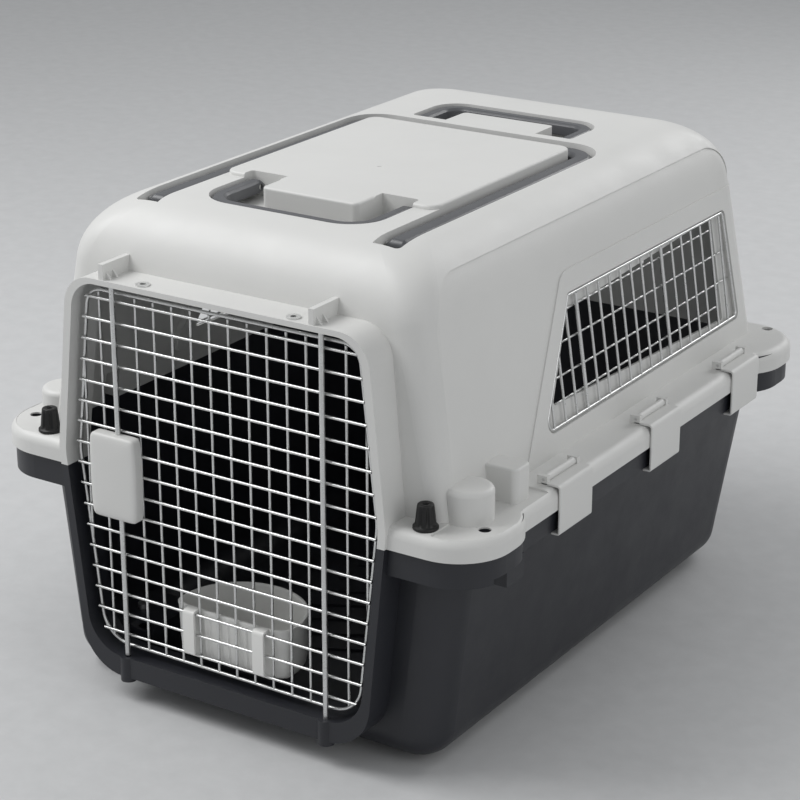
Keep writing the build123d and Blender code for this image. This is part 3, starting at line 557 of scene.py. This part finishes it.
def toned(colour, share):
    """A colour, and a tone of it with each part multiplied by share."""
    return tuple(colour), tuple(c * share for c in colour)


def material_for(slot):
    """The finish of one of the record's material slots.

    A plastic has a name, two tones, a roughness, and a grain's size and
    height. A metal has a name, two tones and a roughness.
    """
    shells = bpy.context.scene.carrier_shell
    metals = bpy.context.scene.carrier_metal
    grain = shells.grain_size
    plastics = {
        "shell_white": ("ivory_polypropylene", *toned(shells.upper_colour, 0.96), 0.46, grain, 0.00004),
        "shell_dark": ("slate_polypropylene", *toned(shells.lower_colour, 0.88), 0.42, grain, 0.00005),
        "handle_grey": ("grey_handle_nylon", *toned(shells.handle_colour, 0.88), 0.33, 0.6 * grain, 0.00003),
        "knob_black": ("black_nylon", *KNOB_TONES, 0.5, 0.5 * grain, 0.00002),
        "bowl_white": ("bowl_plastic", *BOWL_TONES, 0.35, 0.7 * grain, 0.00002),
        "wheel_grey": ("wheel_rubber", *WHEEL_TONES, 0.62, 0.5 * grain, 0.00004),
    }
    if slot in plastics:
        return plastic(*plastics[slot])
    if slot == "wire_zinc":
        return metal("bright_zinc", *ZINC_TONES, metals.wire_roughness)
    return metal("plain_steel", *STEEL_TONES, metals.steel_roughness)


def give_finish(piece, slot):
    """Gives a new piece the finish of a material slot."""
    piece.data.materials.clear()
    piece.data.materials.append(material_for(slot))


def finish_piece(piece, slot, body):
    """Gives a new piece its finish and the body that it moves with."""
    give_finish(piece, slot)
    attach(piece, body)


class CARRIER_OT_solid_finishes(bpy.types.Operator):
    """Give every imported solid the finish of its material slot"""

    bl_idname = "carrier.solid_finishes"
    bl_label = "Finish packed solids"

    def execute(self, context):
        for entry in frame["record"]["subparts"]:
            node = NODES[entry["node"]]
            node.data.materials.clear()
            node.data.materials.append(material_for(entry["material_slot"]))
        return {"FINISHED"}


class CARRIER_OT_knobs(bpy.types.Operator):
    """Make the two fluted knobs that hold the shells together"""

    bl_idname = "carrier.knobs"
    bl_label = "Fluted knobs"

    def execute(self, context):
        """Radius at height h and angle a is the profile's radius less a
        flute, depth times the eighth harmonic of a raised to a power, faded
        out at the flange and at the top."""
        profile = np.array([
            (0.0026, 0.0110), (0.0026, 0.0214), (0.0032, 0.0220), (0.0062, 0.0220), (0.0070, 0.0214),
            (0.0073, 0.0200), (0.0078, 0.0160), (0.0083, 0.0110), (0.0088, 0.0060), (0.0092, 0.0034),
            (0.0097, 0.0028), (0.0107, 0.0026), (0.0110, 0.0022), (0.0110, 0.0003), (0.0108, 0.0),
            (0.0028, 0.0),
        ])
        fade = np.interp(profile[:, 1], FLUTE_HEIGHTS, FLUTE_SHARES)
        fade = np.where(profile[:, 0] < KNOB_CORE, 0.0, fade)
        angles = np.linspace(0, FULL_TURN, KNOB_POINTS, endpoint=False)
        flute = FLUTE_DEPTH * np.clip(np.cos(FLUTES * angles), 0, 1) ** FLUTE_POWER
        radius = profile[None, :, 0] - flute[:, None] * fade[None, :]
        for side, (x, y) in KNOB_CENTRES.items():
            points = np.stack([
                x + radius * np.cos(angles)[:, None],
                y + radius * np.sin(angles)[:, None],
                KNOB_FOOT + np.broadcast_to(profile[:, 1], radius.shape),
            ], -1)
            faces = grid_faces(len(angles), len(profile), close_rows=True, close_columns=True)
            piece = add_mesh("fluted_knob_" + side, points, faces[:, ::-1])
            finish_piece(piece, "knob_black", "knob_" + side)
            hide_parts("knob_" + side)
        return {"FINISHED"}


class CARRIER_OT_bars(bpy.types.Operator):
    """Make the pull bar and both carry handles with their bevelled tops"""

    bl_idname = "carrier.bars"
    bl_label = "Pull bar and handles"

    def section(self, width):
        """Bar's section: upright sides below, a top narrowed by slopes, and
        every corner rounded. Starts and ends in the middle of the underside."""
        half, deep = width / 2, BAR_DEPTH / 2
        slope = SLOPE_RUN * width
        corners = [(half, -deep), (half, deep - SLOPE_FALL * slope), (half - slope, deep)]
        corners += [(-x, z) for x, z in corners[::-1]]
        outline = rounded_corners([(0, -deep)] + corners + [(0, -deep)], SECTION_RADII, SECTION_STEPS)
        return outline[:-1]

    def execute(self, context):
        """The section is carried round a U seen from above. Its height is
        multiplied by sin t where the leg has r cos t to go to its full
        height, r being half the depth, so that the leg ends in a half round."""
        end_turn = np.linspace(END_START, math.pi / 2, END_STEPS, endpoint=False)
        for name, (half, width, y_end, y_cross, top, corner) in BARS.items():
            leg, radius = half - width / 2, BAR_DEPTH / 2
            step = radius if y_cross > y_end else -radius
            y_full = y_end + step
            corners = [(-leg, y_full), (-leg, y_cross), (leg, y_cross), (leg, y_full)]
            bends = rounded_corners(corners, [corner - width / 2] * 2, BEND_STEPS)
            first = np.stack([np.full(END_STEPS, -leg), y_full - step * np.cos(end_turn)], -1)
            path = np.vstack([first, bends, (first * (-1, 1))[::-1]])
            share = np.concatenate([np.sin(end_turn), np.ones(len(bends)), np.sin(end_turn)[::-1]])
            outline = self.section(width)
            plan = path[:, None, :] + side_of(path)[:, None, :] * outline[None, :, :1]
            height = top - radius + share[:, None] * outline[None, :, 1]
            bar = capped_tube("bevelled_" + name, np.concatenate([plan, height[..., None]], -1))
            finish_piece(bar, "handle_grey", name)
            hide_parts(name)
        return {"FINISHED"}


class CARRIER_OT_bowl(bpy.types.Operator):
    """Make the bowl that hangs inside the door"""

    bl_idname = "carrier.bowl"
    bl_label = "Hanging bowl"

    def outline(self, inset, fine=4000):
        """D seen from above: behind the widest line half an ellipse, before
        it a superellipse of power five, so that the front is nearly flat."""
        turn = np.linspace(0, FULL_TURN, fine, endpoint=False)
        half, power = BOWL_HALF - inset, 2 / BOWL_FRONT_POWER
        cos, sin = np.cos(turn), np.sin(turn)
        back, ahead = BOWL_DEPTH - BOWL_MIDDLE - inset, BOWL_MIDDLE - inset
        x = np.where(sin >= 0, half * cos, half * np.sign(cos) * np.abs(cos) ** power)
        y = np.where(sin >= 0, back * sin, -ahead * np.abs(sin) ** power)
        return evenly(np.stack([x + BOWL_X, y + BOWL_FRONT + BOWL_MIDDLE], -1), BOWL_POINTS)

    def execute(self, context):
        """Each row of the wall is the outline at one inset and height, the
        height counted from the rim or, below the wall, from the foot. Upright
        ribs, narrow bells of x, stand out of the front face below the rim."""
        inner = [(0.0140, 0.0032), (0.0092, 0.0030), (0.0068, 0.0044), (0.0052, 0.0080)]
        rim = [
            (0.0030, -0.0040), (0.0026, -0.0008), (0.0021, -0.0001), (0.0011, 0.0), (0.0003, -0.0004),
            (0.0, -0.0014), (0.0001, -0.0034), (0.0005, -0.0044), (0.0006, -0.0060), (0.0007, -0.0090),
        ]
        outer = [(0.0013, 0.0160), (0.0018, 0.0080), (0.0026, 0.0036), (0.0044, 0.0010), (0.0080, 0.0)]
        rows = [(inset, BOWL_FOOT + rise) for inset, rise in inner]
        rows += [(inset, BOWL_TOP + rise) for inset, rise in rim]
        rows += [(inset, BOWL_FOOT + rise) for inset, rise in outer]
        # The ribs run from the rim's last three rows to the wall's last but two
        ribbed = range(len(inner) + len(rim) - 3, len(rows) - 2)
        rings = []
        for k, (inset, z) in enumerate(rows):
            ring = self.outline(inset)
            if k in ribbed:
                ribs = sum(np.exp(-(((ring[:, 0] - x) / RIB_WIDTH) ** 4)) for x in RIB_X)
                front = np.clip((BOWL_FRONT + RIB_END - ring[:, 1]) / RIB_FADE, 0, 1)
                ring[:, 1] -= RIB_DEPTH * ribs * front
            rings.append(np.column_stack([ring, np.full(len(ring), z)]))
        bowl = capped_tube("moulded_bowl", np.stack(rings))
        finish_piece(bowl, "bowl_white", "bowl")
        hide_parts("bowl")
        self.lugs()
        return {"FINISHED"}

    def lugs(self):
        """Bent strips drawn along x: up inside the bowl's front wall, forward
        over the rim and down before the door's wires."""
        (root, root_z), (crest, crest_z) = LUG_ROOT, LUG_CREST
        middle = LUG_FRONT + LUG_THICK / 2
        corners = [(BOWL_FRONT + root, root_z), (BOWL_FRONT + crest, crest_z)]
        corners += [(middle, crest_z), (middle, LUG_FOOT)]
        strip = strip_outline(rounded_corners(corners, LUG_RADII), LUG_THICK)
        for number, x in enumerate(LUG_X):
            reach = np.linspace(x - LUG_HALF, x + LUG_HALF, 3)
            lug = drawn_along(strip, reach, "wuv", "bowl_lug_%d" % number, LUG_BEVEL)
            finish_piece(lug, "bowl_white", "bowl")


class CARRIER_OT_latch(bpy.types.Operator):
    """Make the latch's crowned cover, its two coil springs and its back plate"""

    bl_idname = "carrier.latch"
    bl_label = "Latch"

    def outline(self, inset, fine=6000):
        """Superellipse of power fourteen whose sides bow out by a twentieth
        of their half width from the ends to the middle."""
        turn = np.linspace(0, FULL_TURN, fine, endpoint=False)
        cos, sin = np.cos(turn), np.sin(turn)
        x = np.sign(cos) * np.abs(cos) ** (2 / COVER_POWER)
        z = np.sign(sin) * np.abs(sin) ** (2 / COVER_POWER)
        x = x * (1 - COVER_BOW * z ** 2)
        curve = np.stack([x * (LATCH_HALF - inset), z * (LATCH_TALL - inset)], -1)
        return evenly(curve, COVER_POINTS) + (LATCH_X + COVER_SHIFT[0], LATCH_Z + COVER_SHIFT[1])

    def execute(self, context):
        """The cover's rows run from the middle of its face over the rounded
        edge to the back, and inside again; the back edge steps forward where
        the finger slides look out at the side."""
        rows = [
            (0.0240, -0.0003), (0.0180, -0.0002), (0.0110, 0.0), (0.0060, 0.0002), (0.0026, 0.0005),
            (0.0012, 0.0011), (0.0004, 0.0020), (0.0, 0.0032), (0.0, None), (0.0024, None),
            (0.0024, 0.0050), (0.0030, 0.0030), (0.0060, 0.0026), (0.0150, 0.0024), (0.0240, 0.0024),
        ]
        rings = []
        for inset, depth in rows:
            ring = self.outline(inset)
            if depth is None:
                beside = ring[:, 0] < LATCH_X - SLOT_START
                in_slot = beside & (np.abs(ring[:, 1] - LATCH_Z) < SLOT_TALL)
                y = np.where(in_slot, SLOT_FRONT, LATCH_BACK)
            else:
                y = np.full(len(ring), LATCH_FRONT + COVER_CROWN + depth)
            rings.append(np.column_stack([ring[:, 0], y, ring[:, 1]]))
        cover = capped_tube("crowned_latch_cover", np.stack(rings))
        finish_piece(cover, "shell_white", "door")
        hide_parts("latch_cover")
        for name in ("upper", "lower"):
            self.spring(name)
        self.back_plate()
        return {"FINISHED"}

    def back_plate(self, corner=0.004):
        """Rounded rectangle drawn through the plate's thickness: each corner
        is a quarter circle about a centre one radius in from both sides."""
        turn = np.linspace(0, math.pi / 2, 7)
        arcs = []
        for quarter, (x, sign) in enumerate(((1, 1), (0, 1), (0, -1), (1, -1))):
            angle = turn + quarter * math.pi / 2
            middle_x = PLATE_SIDES[x] + corner * (1 - 2 * x)
            middle_z = LATCH_Z + sign * (PLATE_TALL - corner)
            arcs.append(np.stack([middle_x + corner * np.cos(angle), middle_z + corner * np.sin(angle)], -1))
        plate = drawn_along(np.vstack(arcs), PLATE_DEPTH, "uwv", "latch_back_plate")
        finish_piece(plate, "shell_white", "door")
        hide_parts("latch_back")

    def spring(self, name, turns=5, wire=0.00045, radius=0.0029):
        """Helix z = lead a / 2 pi with a round section: a point is the helix
        point plus wire cos b outward and wire sin b along z."""
        low, high = (corner[2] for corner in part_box("latch_spring_" + name))
        a = np.linspace(0, FULL_TURN * turns, COIL_STEPS * turns + 1)
        b = np.linspace(0, FULL_TURN, COIL_SIDES, endpoint=False)
        reach = radius + wire * np.cos(b)[None, :]
        rise = (high - low - 2 * wire) * a / a[-1] + low + wire
        coil = capped_tube("coil_spring_" + name, np.stack([
            LATCH_X + reach * np.cos(a)[:, None],
            SPRING_Y + reach * np.sin(a)[:, None],
            rise[:, None] + wire * np.sin(b)[None, :],
        ], -1))
        give_finish(coil, "plain_steel")
        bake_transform(coil)
        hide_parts("latch_spring_" + name)


class CARRIER_OT_clips(bpy.types.Operator):
    """Make the six hinged clips that hold the shells together"""

    bl_idname = "carrier.clips"
    bl_label = "Side clips"

    def execute(self, context):
        """A clip is a bent plate, its path rounded at the rim and at the
        hook, with a round eye about the pin between the two lugs."""
        pin_x, pin_z = CLIP_PIN
        middle = CLIP_THICK / 2
        face, top, low = CLIP_OUT - middle, CLIP_TOP - middle, CLIP_LOW + middle
        corners = [(pin_x - CLIP_START, top), (face, top), (face, low), (CLIP_HOOK, low)]
        plate = strip_outline(rounded_corners(corners, CLIP_RADII, steps=9), CLIP_THICK)
        turn = np.linspace(0, FULL_TURN, EYE_POINTS, endpoint=False)
        eye = np.stack([pin_x + CLIP_EYE * np.cos(turn), pin_z + CLIP_EYE * np.sin(turn)], -1)
        for side, sign in (("left", -1.0), ("right", 1.0)):
            for place, y in CLIP_PLACES.items():
                name = "clip_%s_%s" % (side, place)
                for part, outline, half in (("plate", plate, CLIP_HALF), ("eye", eye, CLIP_NECK)):
                    reach = np.linspace(y - half, y + half, 3)
                    label = "%s_%s" % (name, part)
                    piece = drawn_along(outline * (sign, 1.0), reach, "uwv", label, CLIP_BEVEL)
                    finish_piece(piece, "shell_white", name)
                    if part == "plate":
                        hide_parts(name)
        return {"FINISHED"}


class CARRIER_OT_wheels(bpy.types.Operator):
    """Make the four caster wheels"""

    bl_idname = "carrier.wheels"
    bl_label = "Caster wheels"

    def execute(self, context):
        """Each wheel is a closed profile of tread, shoulder, dished side and
        hub, turned about the axle."""
        half = [
            (0.00256, 0.0), (0.00256, 0.0079), (0.0050, 0.0080), (0.0052, 0.0078), (0.0054, 0.0062),
            (0.0107, 0.0060), (0.0112, 0.0078), (0.0116, 0.0080), (0.0152, 0.0080), (0.0166, 0.0075),
            (0.0175, 0.0063), (0.0180, 0.0045), (0.0180, 0.0012), (0.01765, 0.0008),
        ]
        profile = half + [(r, -h) for r, h in reversed(half[1:])]
        for place, (x, y) in CASTER_PLACES.items():
            points = turned_about_x(profile, (x, y + WHEEL_TRAIL, WHEEL_RADIUS))
            faces = grid_faces(len(points), len(profile), close_rows=True, close_columns=True)
            piece = add_mesh("rolling_wheel_" + place, points, faces)
            finish_piece(piece, "wheel_grey", "wheel_" + place)
            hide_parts("caster_wheel_" + place)
        return {"FINISHED"}


# Camera, lamps and floor

def aim(thing, target):
    """Turns a lamp or camera to look at a point."""
    direction = Vector(target) - thing.location
    thing.rotation_euler = direction.to_track_quat("-Z", "Y").to_euler()


def lamp(name, place, target, side, power):
    """Square soft lamp that looks at its target."""
    data = bpy.data.lights.new(name, "AREA")
    data.shape = "RECTANGLE"
    data.size = side
    data.size_y = side
    data.energy = power
    made = bpy.data.objects.new(name, data)
    bpy.context.scene.collection.objects.link(made)
    made.location = place
    aim(made, target)


def floor_material():
    """Pale matt floor with a faint speckle of two close greys."""
    material, tree, shader = start_material("pale_floor")
    if tree is None:
        return material
    place = tree.nodes.new("ShaderNodeTexCoord").outputs["Object"]
    speckle = spread(tree, noise(tree, place, scale=40.0, detail=5.0, roughness=0.6), (0.3, 0.7))
    tree.links.new(mixed(tree, speckle, *FLOOR_TONES), shader.inputs["Base Color"])
    shader.inputs["Roughness"].default_value = FLOOR_ROUGHNESS
    return material


class CARRIER_OT_stage(bpy.types.Operator):
    """Make the pale floor, the lamps and the camera"""

    bl_idname = "carrier.stage"
    bl_label = "Stage and camera"

    def execute(self, context):
        settings = context.scene.carrier_stage
        side = np.linspace(-FLOOR_HALF, FLOOR_HALF, FLOOR_LINES)
        x, y = np.meshgrid(side, side, indexing="ij")
        points = np.stack([x, y, np.zeros_like(x)], -1)
        floor = add_mesh("floor", points, grid_faces(FLOOR_LINES, FLOOR_LINES)[:, ::-1], smooth=False)
        floor.data.materials.append(floor_material())
        for name, (place, target, size, share) in LAMPS.items():
            lamp(name, place, target, size, share * settings.key_power)
        self.room(context.scene, settings.world_strength)
        self.camera(context.scene, settings.lens)
        context.scene.view_settings.view_transform = "Standard"
        return {"FINISHED"}

    def room(self, scene, strength):
        world = bpy.data.worlds.new("room")
        world.use_nodes = True
        scene.world = world
        back = world.node_tree.nodes["Background"]
        back.inputs["Color"].default_value = ROOM_COLOUR
        back.inputs["Strength"].default_value = strength

    def camera(self, scene, lens):
        data = bpy.data.cameras.new("camera")
        data.lens = lens
        data.sensor_width = CAMERA_SENSOR
        made = bpy.data.objects.new("camera", data)
        scene.collection.objects.link(made)
        made.location = CAMERA_PLACE
        aim(made, made.location + Vector(CAMERA_AIM))
        scene.camera = made


OPERATORS = (
    CARRIER_OT_solid_finishes,
    CARRIER_OT_knobs,
    CARRIER_OT_bars,
    CARRIER_OT_bowl,
    CARRIER_OT_latch,
    CARRIER_OT_clips,
    CARRIER_OT_wheels,
    CARRIER_OT_stage,
)
SETTINGS = {"carrier_shell": ShellFinish, "carrier_metal": MetalFinish, "carrier_stage": StageSettings}


class CARRIER_PT_panel(bpy.types.Panel):
    """Sidebar panel that lists the carrier's pieces"""

    bl_idname = "CARRIER_PT_panel"
    bl_label = "Pet carrier"
    bl_space_type = "VIEW_3D"
    bl_region_type = "UI"
    bl_category = "Carrier"

    def draw(self, context):
        for holder, group in SETTINGS.items():
            box = self.layout.box()
            for label in group.__annotations__:
                box.prop(getattr(context.scene, holder), label)
        for operator in OPERATORS:
            self.layout.operator(operator.bl_idname)


def register():
    for made in (*SETTINGS.values(), *OPERATORS, CARRIER_PT_panel):
        bpy.utils.register_class(made)
    for holder, group in SETTINGS.items():
        setattr(bpy.types.Scene, holder, bpy.props.PointerProperty(type=group))


def unregister():
    for holder in SETTINGS:
        delattr(bpy.types.Scene, holder)
    for made in (CARRIER_PT_panel, *reversed(OPERATORS), *SETTINGS.values()):
        bpy.utils.unregister_class(made)


def main():
    register()
    for operator in OPERATORS:
        area, name = operator.bl_idname.split(".")
        getattr(getattr(bpy.ops, area), name)()


if __name__ == "__main__":
    main()
